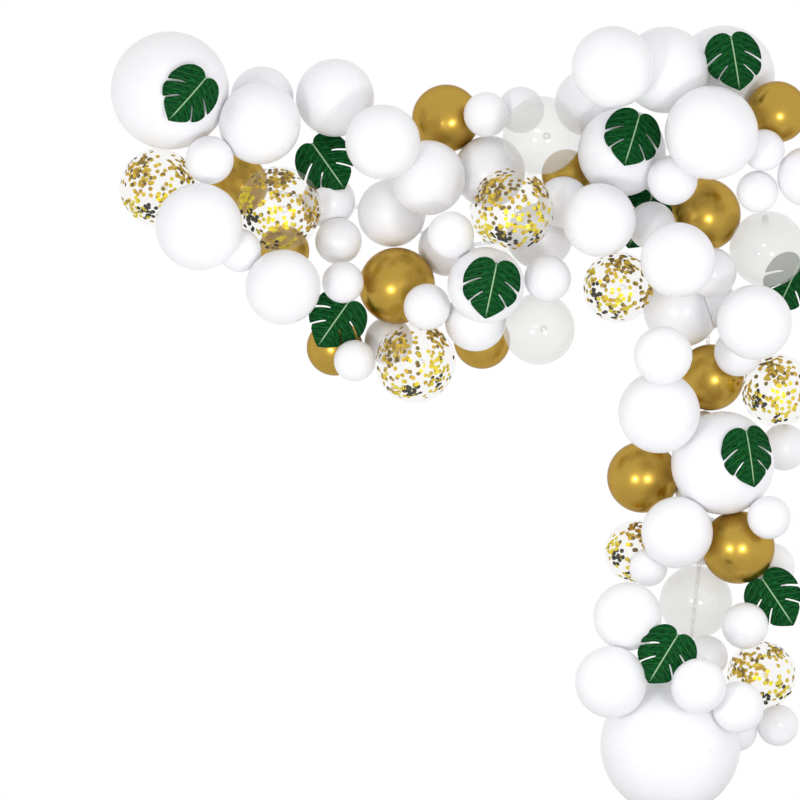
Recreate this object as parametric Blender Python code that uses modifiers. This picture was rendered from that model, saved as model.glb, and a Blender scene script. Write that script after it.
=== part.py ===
"""A balloon garland for a wall corner: an arm to the left and a drop at the right.

Balloons hang on a flat plastic strip that runs along the back. The front faces -Y, the wall
is the plane y = 0, and the origin is on the strip's back at its corner.
Each balloon and leaf is added in turn and pushed back until it meets what hangs there already.
"""

import math

import bmesh
import bpy
from mathutils import Matrix, Vector
from mathutils.bvhtree import BVHTree

# Driving dimensions, in metres.
FIT_GAP = 0.0003
STRIP_WIDTH = 0.012
STRIP_THICKNESS = 0.0015
STRIP_END = 0.06
NECK_DIAMETER = 0.012
LEAF_LENGTH = 0.170
LEAF_THICKNESS = 0.002
LEAF_FOLD_DEGREES = 15

# A faceted balloon keeps the round one's mean size when its corners stand a little proud.
CORNER_PROUD = 1.03
# Balloons up to this diameter have the plainer of two shapes.
SMALL_BALLOON = 0.16
# The tied necks between two balloons start at this share of the way out from each one's centre.
NECK_START = 0.75
# How balloons are moved until they touch: the step, and how often it is halved at the end.
STEP = 0.004
HALVINGS = 7
TOUCH = 3 * FIT_GAP
# Things that hang clear of the rest move this far at most to touch it.
SNUG_REACH = 0.05

CM = 0.01
BACKWARD = Vector((0.0, 1.0, 0.0))
FORWARD = -BACKWARD

# Half of a monstera leaf as shares of its midrib, from the stem's notch round to the tip.
# The two points near the rib are the inner ends of the slits.
LEAF_HALF_OUTLINE = [
    (0.06, -0.05), (0.19, -0.07), (0.33, -0.03), (0.44, 0.10), (0.50, 0.27), (0.50, 0.45),
    (0.21, 0.28),
    (0.49, 0.50), (0.45, 0.62), (0.37, 0.74),
    (0.14, 0.52),
    (0.31, 0.71), (0.26, 0.81),
]
LEAF_MIDRIB = [0.02, 1.0]

# Each row: node, x and z of the centre, diameter, in centimetres from the strip's corner.
# Each gold, confetti or clear balloon is a node, and white ones are tied in bunches that share one.
# First the balloons that sit straight on the strip, from its left end to its lower end.
ON_THE_STRIP = [
    ("white_bunch_01", -162.0, 26.0, 13.0),
    ("gold_balloon_01", -140.5, 9.0, 18.5),
    ("white_bunch_03", -113.0, 4.0, 16.0),
    ("white_bunch_04", -94.0, 0.5, 20.5),
    ("white_bunch_06", -77.5, -10.0, 17.0),
    ("white_bunch_12", -49.5, -6.5, 20.0),
    ("white_bunch_12", -34.0, 3.5, 16.0),
    ("white_bunch_12", -19.0, 11.0, 17.0),
    ("gold_balloon_02", 0.0, 0.0, 22.0),
    ("white_bunch_16", 0.5, -26.0, 17.5),
    ("gold_balloon_03", 2.0, -49.0, 20.0),
    ("white_bunch_18", -0.5, -66.5, 15.0),
    ("white_bunch_18", -1.5, -82.0, 15.0),
    ("white_bunch_18", -0.5, -98.0, 15.0),
    ("clear_balloon_01", -2.5, -116.5, 22.0),
    ("white_bunch_22", -4.5, -135.0, 14.0),
    ("white_bunch_23", -7.0, -151.0, 15.5),
]

# Then the rest, from the wall outwards. A leaf has no diameter.
IN_FRONT = [
    ("monstera_leaf_10", -19.5, -2.5, 0),
    ("gold_balloon_04", -77.5, 29.0, 20.5),
    ("gold_balloon_05", -111.5, -40.0, 17.0),
    ("gold_balloon_06", -67.0, -38.5, 17.0),
    ("white_bunch_07", -95.0, -38.0, 14.5),
    ("gold_balloon_07", -41.5, 12.0, 15.0),
    ("white_bunch_13", 6.0, 41.5, 30.5),
    ("white_bunch_19", 20.0, -106.0, 14.5),
    ("monstera_leaf_11", 25.5, -21.5, 0),
    ("white_bunch_04", -64.5, 13.0, 21.5),
    ("confetti_balloon_01", -164.0, 8.0, 23.5),
    ("confetti_balloon_02", -87.0, -44.5, 24.5),
    ("white_bunch_10", -69.0, -32.5, 18.5),
    ("gold_balloon_08", 21.5, 30.5, 18.5),
    ("white_bunch_12", -25.0, 18.5, 26.5),
    ("clear_balloon_02", 19.0, -10.5, 23.0),
    ("confetti_balloon_03", -26.0, -22.0, 21.5),
    ("confetti_balloon_04", 22.0, -53.0, 22.0),
    ("gold_balloon_09", -18.5, -79.0, 21.5),
    ("confetti_balloon_05", 17.0, -138.5, 21.0),
    ("monstera_leaf_02", -113.0, 14.5, 0),
    ("clear_balloon_03", -50.0, -35.0, 21.5),
    ("white_bunch_15", -16.0, -3.5, 14.5),
    ("gold_balloon_10", 10.0, -100.0, 22.0),
    ("monstera_leaf_03", -112.0, -33.0, 0),
    ("monstera_leaf_09", 22.0, -116.5, 0),
    ("white_bunch_01", -160.5, 37.0, 35.5),
    ("white_bunch_01", -111.0, 35.0, 23.5),
    ("white_bunch_05", -65.5, 30.0, 13.5),
    ("white_bunch_04", -83.0, 11.0, 22.5),
    ("confetti_balloon_06", -128.0, 1.5, 26.0),
    ("gold_balloon_11", -92.5, -21.5, 23.0),
    ("white_bunch_10", -66.0, -22.0, 23.0),
    ("white_bunch_11", -42.5, 3.5, 15.5),
    ("white_bunch_13", -12.0, 43.0, 26.0),
    ("white_bunch_14", 16.0, 7.0, 12.5),
    ("white_bunch_14", -10.0, 10.0, 15.0),
    ("white_bunch_11", -32.0, -2.0, 22.0),
    ("white_bunch_16", 2.0, -17.5, 15.0),
    ("white_bunch_16", -6.5, -30.0, 23.0),
    ("white_bunch_17", 10.0, -41.5, 14.5),
    ("white_bunch_18", 5.0, -74.5, 31.0),
    ("white_bunch_18", -17.0, -106.0, 11.5),
    ("white_bunch_23", -23.5, -120.5, 20.5),
    ("white_bunch_22", 0.5, -133.0, 13.0),
    ("white_bunch_02", -139.5, -11.0, 13.0),
    ("white_bunch_23", -10.5, -159.0, 42.0),
    ("monstera_leaf_01", -155.0, 34.0, 0),
    ("monstera_leaf_05", 9.0, 45.0, 0),
    ("monstera_leaf_06", -22.0, 22.0, 0),
    ("monstera_leaf_04", -64.5, -24.0, 0),
    ("clear_balloon_04", -49.0, 23.5, 23.5),
    ("white_bunch_02", -151.5, -4.0, 26.0),
    ("white_bunch_14", 17.0, 18.5, 12.5),
    ("white_bunch_16", 14.5, -32.5, 22.5),
    ("white_bunch_18", -8.5, -95.5, 21.5),
    ("white_bunch_23", -28.5, -140.0, 21.5),
    ("monstera_leaf_07", 13.5, -73.5, 0),
    ("white_bunch_18", -14.0, -59.5, 24.5),
    ("monstera_leaf_08", -13.0, -133.0, 0),
    ("white_bunch_01", -133.5, 27.0, 24.5),
    ("white_bunch_04", -96.5, 21.5, 22.5),
    ("white_bunch_01", -148.5, 16.0, 14.5),
    ("white_bunch_02", -126.5, -22.0, 22.5),
    ("white_bunch_03", -110.0, -8.0, 14.0),
    ("white_bunch_10", -76.5, -7.0, 14.0),
    ("confetti_balloon_07", -58.0, 1.0, 25.5),
    ("white_bunch_08", -105.5, -44.0, 12.5),
    ("white_bunch_10", -47.5, -20.0, 14.0),
    ("white_bunch_13", -28.0, 43.5, 24.5),
    ("white_bunch_14", 1.5, 24.0, 28.0),
    ("white_bunch_16", -8.5, -14.0, 22.5),
    ("white_bunch_18", -13.0, -42.5, 17.5),
    ("white_bunch_18", 19.0, -91.0, 13.0),
    ("white_bunch_21", 12.0, -123.5, 14.0),
    ("white_bunch_23", 9.5, -147.5, 15.5),
    ("white_bunch_24", -109.0, -20.5, 12.5),
    ("white_bunch_23", -2.5, -141.0, 16.5),
    ("white_bunch_09", -83.5, -28.0, 14.0),
]

# Last the ones that are tucked in from behind, to fill the gaps.
TUCKED_IN = [
    ("white_bunch_01", -133.0, 35.0, 19.0),
    ("white_bunch_05", -55.0, 31.5, 14.0),
    ("gold_balloon_12", -126.5, -11.0, 15.5),
    ("white_bunch_12", -35.0, 33.5, 20.0),
    ("confetti_balloon_08", -20.5, -101.5, 19.0),
    ("white_bunch_23", 22.0, -153.5, 12.5),
    ("white_bunch_23", 10.0, -155.5, 11.5),
    ("white_bunch_20", 24.0, -70.0, 14.0),
    ("white_bunch_14", 30.5, 11.0, 18.0),
]

# Leaf: turn of its tip from straight down towards +X in degrees, and how far it faces +X and +Z.
LEAVES = {
    "monstera_leaf_01": (-43, 0.30, -0.17),
    "monstera_leaf_02": (35, 0.0, 0.10),
    "monstera_leaf_03": (-36, -0.18, -0.10),
    "monstera_leaf_04": (-10, 0.13, -0.20),
    "monstera_leaf_05": (6, 0.20, 0.25),
    "monstera_leaf_06": (-20, 0.25, 0.27),
    "monstera_leaf_07": (9, 0.50, 0.05),
    "monstera_leaf_08": (-31, -0.10, 0.10),
    "monstera_leaf_09": (35, 0.20, 0.0),
    "monstera_leaf_10": (-25, -0.15, 0.10),
    "monstera_leaf_11": (-25, -0.15, 0.10),
}

# Finish of each kind of node: colour, metallic, roughness and how much light goes through.
FINISHES = {
    "balloon_strip": ((0.82, 0.84, 0.84), 0.0, 0.35, 0.0),
    "gold_balloon": ((0.72, 0.50, 0.11), 1.0, 0.22, 0.0),
    "confetti_balloon": ((0.93, 0.86, 0.62), 0.0, 0.08, 0.6),
    "clear_balloon": ((0.92, 0.92, 0.90), 0.0, 0.06, 0.8),
    "white_bunch": ((0.90, 0.90, 0.92), 0.0, 0.35, 0.0),
    "monstera_leaf": ((0.02, 0.13, 0.04), 0.0, 0.55, 0.0),
}


def clear_scene():
    for thing in list(bpy.data.objects):
        bpy.data.objects.remove(thing, do_unlink=True)


def finish(node):
    """The material of a node, by its kind."""
    kind = node.rstrip("_0123456789")
    colour, metallic, roughness, transmission = FINISHES[kind]
    material = bpy.data.materials.new(node)
    material.use_nodes = True
    shader = material.node_tree.nodes["Principled BSDF"]
    shader.inputs["Base Color"].default_value = (*colour, 1.0)
    shader.inputs["Metallic"].default_value = metallic
    shader.inputs["Roughness"].default_value = roughness
    shader.inputs["Transmission Weight"].default_value = transmission
    return material


def add_piece(node, mesh, collection):
    mesh.name = node
    mesh.materials.clear()
    mesh.materials.append(finish(node))
    mesh.shade_smooth()
    mesh.set_sharp_from_angle(angle=math.radians(50))
    collection.objects.link(bpy.data.objects.new(node, mesh))


def as_mesh(piece):
    """The evaluated mesh of an object where it stands, welded and in flat triangles."""
    bpy.context.view_layer.update()
    depsgraph = bpy.context.evaluated_depsgraph_get()
    mesh = bpy.data.meshes.new_from_object(piece.evaluated_get(depsgraph))
    mesh.transform(piece.matrix_world)
    welded = bmesh.new()
    welded.from_mesh(mesh)
    bmesh.ops.remove_doubles(welded, verts=welded.verts, dist=0.00001)
    bmesh.ops.triangulate(welded, faces=welded.faces)
    bmesh.ops.recalc_face_normals(welded, faces=welded.faces)
    welded.to_mesh(mesh)
    welded.free()
    return mesh


def flat_curve(name, points, closed):
    """A flat line of straight stretches, in its own XY plane."""
    curve = bpy.data.curves.new(name, "CURVE")
    curve.dimensions = "2D"
    spline = curve.splines.new("POLY")
    spline.points.add(len(points) - 1)
    for point, (u, v) in zip(spline.points, points):
        point.co = (u, v, 0.0, 1.0)
    spline.use_cyclic_u = closed
    piece = bpy.data.objects.new(name, curve)
    bpy.context.scene.collection.objects.link(piece)
    return piece


def strip_path():
    """The strip bends behind the balloons that sit on it, and runs on a little at its ends."""
    path = [Vector((x * CM, z * CM)) for node, x, z, diameter in ON_THE_STRIP]
    first = path[0] + (path[0] - path[1]).normalized() * STRIP_END
    last = path[-1] + (path[-1] - path[-2]).normalized() * STRIP_END
    return [first, *path, last]


def strip_mesh():
    """The flat strip, with its back on the wall."""
    u = STRIP_WIDTH / 2
    v = STRIP_THICKNESS / 2
    section = flat_curve("strip_section", [(-u, -v), (u, -v), (u, v), (-u, v)], True)
    strip = flat_curve("strip_path", strip_path(), False)
    strip.data.bevel_mode = "OBJECT"
    strip.data.bevel_object = section
    strip.data.use_fill_caps = True
    strip.rotation_euler.x = math.radians(90)
    strip.location.y = -STRIP_THICKNESS / 2
    mesh = as_mesh(strip)
    bpy.data.objects.remove(strip, do_unlink=True)
    bpy.data.objects.remove(section, do_unlink=True)
    return mesh


def balloon_mesh(diameter):
    """A round balloon about its own centre, with one corner straight back."""
    ball = bmesh.new()
    if diameter > SMALL_BALLOON:
        bmesh.ops.create_icosphere(ball, subdivisions=2, radius=1.0)
        bmesh.ops.rotate(ball, verts=ball.verts, matrix=Matrix.Rotation(math.radians(90), 3, "X"))
    else:
        bmesh.ops.create_cube(ball, size=2.0)
        bmesh.ops.subdivide_edges(ball, edges=ball.edges, cuts=1, use_grid_fill=True)
        bmesh.ops.triangulate(ball, faces=ball.faces)
    for corner in ball.verts:
        corner.co = corner.co.normalized() * diameter / 2 * CORNER_PROUD
    mesh = bpy.data.meshes.new("balloon")
    ball.to_mesh(mesh)
    ball.free()
    return mesh


def leaf_mesh(turn, face_x, face_z):
    """A monstera leaf about its own centre, folded back along its midrib over what it lies on."""
    half = bmesh.new()
    middle = Vector((0.0, LEAF_LENGTH / 2))
    rib = [Vector((0.0, share * LEAF_LENGTH)) for share in reversed(LEAF_MIDRIB)]
    edge = [Vector((u * LEAF_LENGTH, v * LEAF_LENGTH)) for u, v in LEAF_HALF_OUTLINE]
    fold = math.radians(LEAF_FOLD_DEGREES)
    corners = []
    for point in edge + rib:
        along = point.y - middle.y
        corners.append(half.verts.new((point.x * math.cos(fold), along, -point.x * math.sin(fold))))
    bmesh.ops.triangulate(half, faces=[half.faces.new(corners)])
    mesh = bpy.data.meshes.new("leaf")
    half.to_mesh(mesh)
    half.free()
    leaf = bpy.data.objects.new("leaf", mesh)
    bpy.context.scene.collection.objects.link(leaf)
    mirror = leaf.modifiers.new("other half", "MIRROR")
    mirror.merge_threshold = 0.00001
    cloth = leaf.modifiers.new("cloth", "SOLIDIFY")
    cloth.thickness = LEAF_THICKNESS
    cloth.offset = 0.0
    cloth.use_even_offset = True

    facing = Vector((face_x, -math.sqrt(1 - face_x ** 2 - face_z ** 2), face_z))
    aim = Vector((math.sin(math.radians(turn)), 0.0, -math.cos(math.radians(turn))))
    tip = (aim - facing * aim.dot(facing)).normalized()
    leaf.matrix_world = Matrix((tip.cross(facing), tip, facing)).transposed().to_4x4()
    mesh = as_mesh(leaf)
    bpy.data.objects.remove(leaf, do_unlink=True)
    return mesh


class Hung:
    """A balloon or leaf: its mesh about its own centre, and where that centre is."""

    def __init__(self, node, x, z, diameter):
        self.node = node
        self.mesh = leaf_mesh(*LEAVES[node]) if node in LEAVES else balloon_mesh(diameter * CM)
        self.faces = [tuple(face.vertices) for face in self.mesh.polygons]
        self.reach = max(corner.co.length for corner in self.mesh.vertices)
        self.deepest = -STRIP_THICKNESS - FIT_GAP - max(corner.co.y for corner in self.mesh.vertices)
        self.met = False
        self.settle(Vector((x * CM, self.deepest, z * CM)))

    def surface(self, shift, spare):
        """Its surface after a shift, swollen by a spare width."""
        place = self.place + shift
        corners = [place + corner.co + corner.normal * spare for corner in self.mesh.vertices]
        return BVHTree.FromPolygons(corners, self.faces)

    def settle(self, place):
        self.place = place
        self.settled = self.surface(Vector(), 0.0)

    def placed_mesh(self):
        mesh = self.mesh.copy()
        mesh.transform(Matrix.Translation(self.place))
        return mesh


def meets(thing, others, shift=Vector(), spare=FIT_GAP):
    """The first of the others that a thing meets after a shift."""
    surface = thing.surface(shift, spare)
    for other in others:
        apart = (thing.place + shift - other.place).length
        if apart < thing.reach + other.reach + spare and surface.overlap(other.settled):
            return other
    return None


def travel(moving, others, heading, limit):
    """How far things can go along a heading before one meets another, and whether it does."""
    def blocked(distance):
        return any(meets(thing, others, heading * distance) for thing in moving)

    clear = 0.0
    while not blocked(clear + STEP):
        clear += STEP
        if clear >= limit:
            return limit, False
    hit = clear + STEP
    for _ in range(HALVINGS):
        middle = (clear + hit) / 2
        if blocked(middle):
            hit = middle
        else:
            clear = middle
    return clear, True


def in_line(thing, hung):
    """What hangs in front of a thing or behind it."""
    return [other for other in hung if other is not thing
            and (thing.place - other.place).xz.length < thing.reach + other.reach]


def push_back(thing, hung):
    """Bring a thing from the front until it meets another, or the strip's plane."""
    others = in_line(thing, hung)
    front = min([other.place.y - other.reach - thing.reach for other in others], default=0.0)
    start = thing.place.copy()
    start.y = min(front, thing.deepest - STEP)
    thing.place = start
    distance, thing.met = travel([thing], others, BACKWARD, thing.deepest - start.y)
    thing.settle(start + BACKWARD * distance)


def tuck_in(thing, hung):
    """Bring a thing forward from the wall until it meets another, and say if there was room."""
    others = in_line(thing, hung)
    if not others or meets(thing, others):
        return False
    foremost = min(other.place.y for other in others)
    distance, thing.met = travel([thing], others, FORWARD, thing.place.y - foremost)
    if thing.met:
        thing.settle(thing.place + FORWARD * distance)
    return thing.met


def touch(first, second):
    """Whether two things are a hair or less from each other."""
    apart = (first.place - second.place).length
    if apart > first.reach + second.reach + TOUCH:
        return False
    pairs = [(first, second), (second, first)]
    return any(one.surface(Vector(), TOUCH).overlap(other.settled) for one, other in pairs)


def groups_of(hung):
    """Things that touch, gathered in groups. The first is the one on the strip."""
    left = list(hung[len(ON_THE_STRIP):])
    groups = [list(hung[:len(ON_THE_STRIP)])]
    while True:
        for thing in groups[-1]:
            for other in [other for other in left if touch(thing, other)]:
                groups[-1].append(other)
                left.remove(other)
        if not left:
            return groups
        groups.append([left.pop(0)])


def nearest_gap(group, others):
    """The shortest way from a group's corners to the others."""
    best = None
    for thing in group:
        for other in others:
            if (thing.place - other.place).length > thing.reach + other.reach + SNUG_REACH:
                continue
            for corner in thing.mesh.vertices:
                start = thing.place + corner.co
                spot = other.settled.find_nearest(start, SNUG_REACH)[0]
                if spot and (best is None or (spot - start).length < best.length):
                    best = spot - start
    return best


def snug_up(hung):
    """Groups that hang clear of the strip's own group move sideways until they touch it."""
    for _ in hung:
        groups = groups_of(hung)
        held = groups[0]
        ways = [(nearest_gap(group, held), group) for group in groups[1:]]
        ways = [(way, group) for way, group in ways if way]
        if not ways:
            return
        way, group = min(ways, key=lambda pair: pair[0].length)
        rest = [thing for thing in hung if thing not in group]
        distance, met = travel(group, rest, way.normalized(), SNUG_REACH)
        if not met:
            return
        for thing in group:
            thing.settle(thing.place + way.normalized() * distance)


def hang_garland():
    """Every balloon and leaf in its place."""
    hung = []
    for row in ON_THE_STRIP:
        hung.append(Hung(*row))
    for row in IN_FRONT:
        thing = Hung(*row)
        push_back(thing, hung)
        hung.append(thing)
    for thing in reversed(hung[len(ON_THE_STRIP):]):
        others = [other for other in hung if other is not thing]
        if not thing.met and not meets(thing, others, spare=TOUCH):
            tuck_in(thing, hung)
    for row in TUCKED_IN:
        thing = Hung(*row)
        if not tuck_in(thing, hung):
            push_back(thing, hung)
        hung.append(thing)
    snug_up(hung)
    return hung


def gap_between(first, second):
    """The gap between two round balloons."""
    return (second.place - first.place).length - (first.reach + second.reach) / CORNER_PROUD


def tied_necks(first, second):
    """The knotted necks between two balloons, let into both."""
    line = second.place - first.place
    start = first.reach * NECK_START
    length = line.length - (first.reach + second.reach) * NECK_START
    neck = bmesh.new()
    bmesh.ops.create_cone(neck, segments=5, cap_ends=True, depth=length,
                          radius1=NECK_DIAMETER / 2, radius2=NECK_DIAMETER / 2)
    middle = first.place + line.normalized() * (start + length / 2)
    turn = line.to_track_quat("Z", "Y").to_matrix().to_4x4()
    bmesh.ops.transform(neck, matrix=Matrix.Translation(middle) @ turn, verts=neck.verts)
    mesh = bpy.data.meshes.new("neck")
    neck.to_mesh(mesh)
    neck.free()
    return mesh


def fuse(meshes):
    """One closed body from meshes that run into each other."""
    cutters = bpy.data.collections.new("to_fuse")
    bpy.context.scene.collection.children.link(cutters)
    bodies = [bpy.data.objects.new("to_fuse", mesh) for mesh in meshes]
    bpy.context.scene.collection.objects.link(bodies[0])
    for body in bodies[1:]:
        cutters.objects.link(body)
    union = bodies[0].modifiers.new("union", "BOOLEAN")
    union.operation = "UNION"
    union.solver = "EXACT"
    union.operand_type = "COLLECTION"
    union.collection = cutters
    mesh = as_mesh(bodies[0])
    for body in bodies:
        bpy.data.objects.remove(body, do_unlink=True)
    bpy.data.collections.remove(cutters)
    return mesh


def bunch_mesh(balloons):
    """The balloons of one bunch, each tied to its nearest neighbour."""
    tied = balloons[:1]
    loose = balloons[1:]
    meshes = [balloons[0].placed_mesh()]
    while loose:
        pairs = [(first, second) for first in tied for second in loose]
        first, second = min(pairs, key=lambda pair: gap_between(*pair))
        meshes += [second.placed_mesh(), tied_necks(first, second)]
        tied.append(second)
        loose.remove(second)
    return fuse(meshes)


def main():
    clear_scene()
    garland = bpy.data.collections.new("balloon_garland")
    bpy.context.scene.collection.children.link(garland)
    add_piece("balloon_strip", strip_mesh(), garland)
    hung = hang_garland()
    for node in sorted({thing.node for thing in hung}):
        things = [thing for thing in hung if thing.node == node]
        mesh = bunch_mesh(things) if len(things) > 1 else things[0].placed_mesh()
        add_piece(node, mesh, garland)


main()
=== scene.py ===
import math
import random

import bmesh
import bpy
import numpy as np
from mathutils import Matrix, Vector


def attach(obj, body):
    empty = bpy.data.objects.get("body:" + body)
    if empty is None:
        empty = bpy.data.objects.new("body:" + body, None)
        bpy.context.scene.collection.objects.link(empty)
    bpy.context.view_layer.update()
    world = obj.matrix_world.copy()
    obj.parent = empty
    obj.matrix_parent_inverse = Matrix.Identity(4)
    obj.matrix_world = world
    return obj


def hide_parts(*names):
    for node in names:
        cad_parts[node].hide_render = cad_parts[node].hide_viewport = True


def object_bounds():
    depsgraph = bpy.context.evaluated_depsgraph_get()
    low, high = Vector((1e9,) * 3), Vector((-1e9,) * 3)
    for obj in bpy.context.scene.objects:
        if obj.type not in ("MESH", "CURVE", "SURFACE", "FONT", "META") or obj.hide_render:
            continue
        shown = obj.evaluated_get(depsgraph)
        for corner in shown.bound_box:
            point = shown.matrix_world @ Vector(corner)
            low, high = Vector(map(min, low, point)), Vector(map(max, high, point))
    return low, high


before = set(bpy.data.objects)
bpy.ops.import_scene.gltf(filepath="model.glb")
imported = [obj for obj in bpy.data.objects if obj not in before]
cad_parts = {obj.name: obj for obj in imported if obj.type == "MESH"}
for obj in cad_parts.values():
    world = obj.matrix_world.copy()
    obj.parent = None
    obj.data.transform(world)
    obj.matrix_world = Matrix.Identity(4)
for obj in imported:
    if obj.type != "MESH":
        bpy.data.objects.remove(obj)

CAD_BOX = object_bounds()

# Lengths are in metres unless a name says otherwise.
CM = 0.01
MM = 0.001
SEGMENTS = 56
RINGS = 36
# The corners of a balloon's CAD ball stand this much proud of the round balloon.
CORNER_PROUD = 1.03
# A centre is fitted to the corners this near to the ball, in these steps, this often at each.
FIT_REACHES = (8 * MM, 2 * MM, 0.4 * MM)
FIT_ROUNDS = 4
FIT_LEAST_CORNERS = 4
# A corner this near to the ball is on it.
FIT_ON_BALL = 0.1 * MM
# Two balloons that press together are this far apart.
PRESS_GAP = 0.3 * MM

# Each balloon: its node, x and z of its centre and its diameter in centimetres. The first
# ON_STRIP of them sit straight on the strip, from its left end to its lower end.
ON_STRIP = 17
BALLOONS = [
    ("white_bunch_01", -162.0, 26.0, 13.0),
    ("gold_balloon_01", -140.5, 9.0, 18.5),
    ("white_bunch_03", -113.0, 4.0, 16.0),
    ("white_bunch_04", -94.0, 0.5, 20.5),
    ("white_bunch_06", -77.5, -10.0, 17.0),
    ("white_bunch_12", -49.5, -6.5, 20.0),
    ("white_bunch_12", -34.0, 3.5, 16.0),
    ("white_bunch_12", -19.0, 11.0, 17.0),
    ("gold_balloon_02", 0.0, 0.0, 22.0),
    ("white_bunch_16", 0.5, -26.0, 17.5),
    ("gold_balloon_03", 2.0, -49.0, 20.0),
    ("white_bunch_18", -0.5, -66.5, 15.0),
    ("white_bunch_18", -1.5, -82.0, 15.0),
    ("white_bunch_18", -0.5, -98.0, 15.0),
    ("clear_balloon_01", -2.5, -116.5, 22.0),
    ("white_bunch_22", -4.5, -135.0, 14.0),
    ("white_bunch_23", -7.0, -151.0, 15.5),
    ("gold_balloon_04", -77.5, 29.0, 20.5),
    ("gold_balloon_05", -111.5, -40.0, 17.0),
    ("gold_balloon_06", -67.0, -38.5, 17.0),
    ("white_bunch_07", -95.0, -38.0, 14.5),
    ("gold_balloon_07", -41.5, 12.0, 15.0),
    ("white_bunch_13", 6.0, 41.5, 30.5),
    ("white_bunch_19", 20.0, -106.0, 14.5),
    ("white_bunch_04", -64.5, 13.0, 21.5),
    ("confetti_balloon_01", -164.0, 8.0, 23.5),
    ("confetti_balloon_02", -87.0, -44.5, 24.5),
    ("white_bunch_10", -69.0, -32.5, 18.5),
    ("gold_balloon_08", 21.5, 30.5, 18.5),
    ("white_bunch_12", -25.0, 18.5, 26.5),
    ("clear_balloon_02", 19.0, -10.5, 23.0),
    ("confetti_balloon_03", -26.0, -22.0, 21.5),
    ("confetti_balloon_04", 22.0, -53.0, 22.0),
    ("gold_balloon_09", -18.5, -79.0, 21.5),
    ("confetti_balloon_05", 17.0, -138.5, 21.0),
    ("clear_balloon_03", -50.0, -35.0, 21.5),
    ("white_bunch_15", -16.0, -3.5, 14.5),
    ("gold_balloon_10", 10.0, -100.0, 22.0),
    ("white_bunch_01", -160.5, 37.0, 35.5),
    ("white_bunch_01", -111.0, 35.0, 23.5),
    ("white_bunch_05", -65.5, 30.0, 13.5),
    ("white_bunch_04", -83.0, 11.0, 22.5),
    ("confetti_balloon_06", -128.0, 1.5, 26.0),
    ("gold_balloon_11", -92.5, -21.5, 23.0),
    ("white_bunch_10", -66.0, -22.0, 23.0),
    ("white_bunch_11", -42.5, 3.5, 15.5),
    ("white_bunch_13", -12.0, 43.0, 26.0),
    ("white_bunch_14", 16.0, 7.0, 12.5),
    ("white_bunch_14", -10.0, 10.0, 15.0),
    ("white_bunch_11", -32.0, -2.0, 22.0),
    ("white_bunch_16", 2.0, -17.5, 15.0),
    ("white_bunch_16", -6.5, -30.0, 23.0),
    ("white_bunch_17", 10.0, -41.5, 14.5),
    ("white_bunch_18", 5.0, -74.5, 31.0),
    ("white_bunch_18", -17.0, -106.0, 11.5),
    ("white_bunch_23", -23.5, -120.5, 20.5),
    ("white_bunch_22", 0.5, -133.0, 13.0),
    ("white_bunch_02", -139.5, -11.0, 13.0),
    ("white_bunch_23", -10.5, -159.0, 42.0),
    ("clear_balloon_04", -49.0, 23.5, 23.5),
    ("white_bunch_02", -151.5, -4.0, 26.0),
    ("white_bunch_14", 17.0, 18.5, 12.5),
    ("white_bunch_16", 14.5, -32.5, 22.5),
    ("white_bunch_18", -8.5, -95.5, 21.5),
    ("white_bunch_23", -28.5, -140.0, 21.5),
    ("white_bunch_18", -14.0, -59.5, 24.5),
    ("white_bunch_01", -133.5, 27.0, 24.5),
    ("white_bunch_04", -96.5, 21.5, 22.5),
    ("white_bunch_01", -148.5, 16.0, 14.5),
    ("white_bunch_02", -126.5, -22.0, 22.5),
    ("white_bunch_03", -110.0, -8.0, 14.0),
    ("white_bunch_10", -76.5, -7.0, 14.0),
    ("confetti_balloon_07", -58.0, 1.0, 25.5),
    ("white_bunch_08", -105.5, -44.0, 12.5),
    ("white_bunch_10", -47.5, -20.0, 14.0),
    ("white_bunch_13", -28.0, 43.5, 24.5),
    ("white_bunch_14", 1.5, 24.0, 28.0),
    ("white_bunch_16", -8.5, -14.0, 22.5),
    ("white_bunch_18", -13.0, -42.5, 17.5),
    ("white_bunch_18", 19.0, -91.0, 13.0),
    ("white_bunch_21", 12.0, -123.5, 14.0),
    ("white_bunch_23", 9.5, -147.5, 15.5),
    ("white_bunch_24", -109.0, -20.5, 12.5),
    ("white_bunch_23", -2.5, -141.0, 16.5),
    ("white_bunch_09", -83.5, -28.0, 14.0),
    ("white_bunch_01", -133.0, 35.0, 19.0),
    ("white_bunch_05", -55.0, 31.5, 14.0),
    ("gold_balloon_12", -126.5, -11.0, 15.5),
    ("white_bunch_12", -35.0, 33.5, 20.0),
    ("confetti_balloon_08", -20.5, -101.5, 19.0),
    ("white_bunch_23", 22.0, -153.5, 12.5),
    ("white_bunch_23", 10.0, -155.5, 11.5),
    ("white_bunch_20", 24.0, -70.0, 14.0),
    ("white_bunch_14", 30.5, 11.0, 18.0),
]

# Each leaf: x and z in centimetres, turn of its tip in degrees, how far it faces +X and +Z.
LEAVES = {
    "monstera_leaf_01": (-155.0, 34.0, -43, 0.30, -0.17),
    "monstera_leaf_02": (-113.0, 14.5, 35, 0.0, 0.10),
    "monstera_leaf_03": (-112.0, -33.0, -36, -0.18, -0.10),
    "monstera_leaf_04": (-64.5, -24.0, -10, 0.13, -0.20),
    "monstera_leaf_05": (9.0, 45.0, 6, 0.20, 0.25),
    "monstera_leaf_06": (-22.0, 22.0, -20, 0.25, 0.27),
    "monstera_leaf_07": (13.5, -73.5, 9, 0.50, 0.05),
    "monstera_leaf_08": (-13.0, -133.0, -31, -0.10, 0.10),
    "monstera_leaf_09": (22.0, -116.5, 35, 0.20, 0.0),
    "monstera_leaf_10": (-19.5, -2.5, -25, -0.15, 0.10),
    "monstera_leaf_11": (25.5, -21.5, -25, -0.15, 0.10),
}

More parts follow.
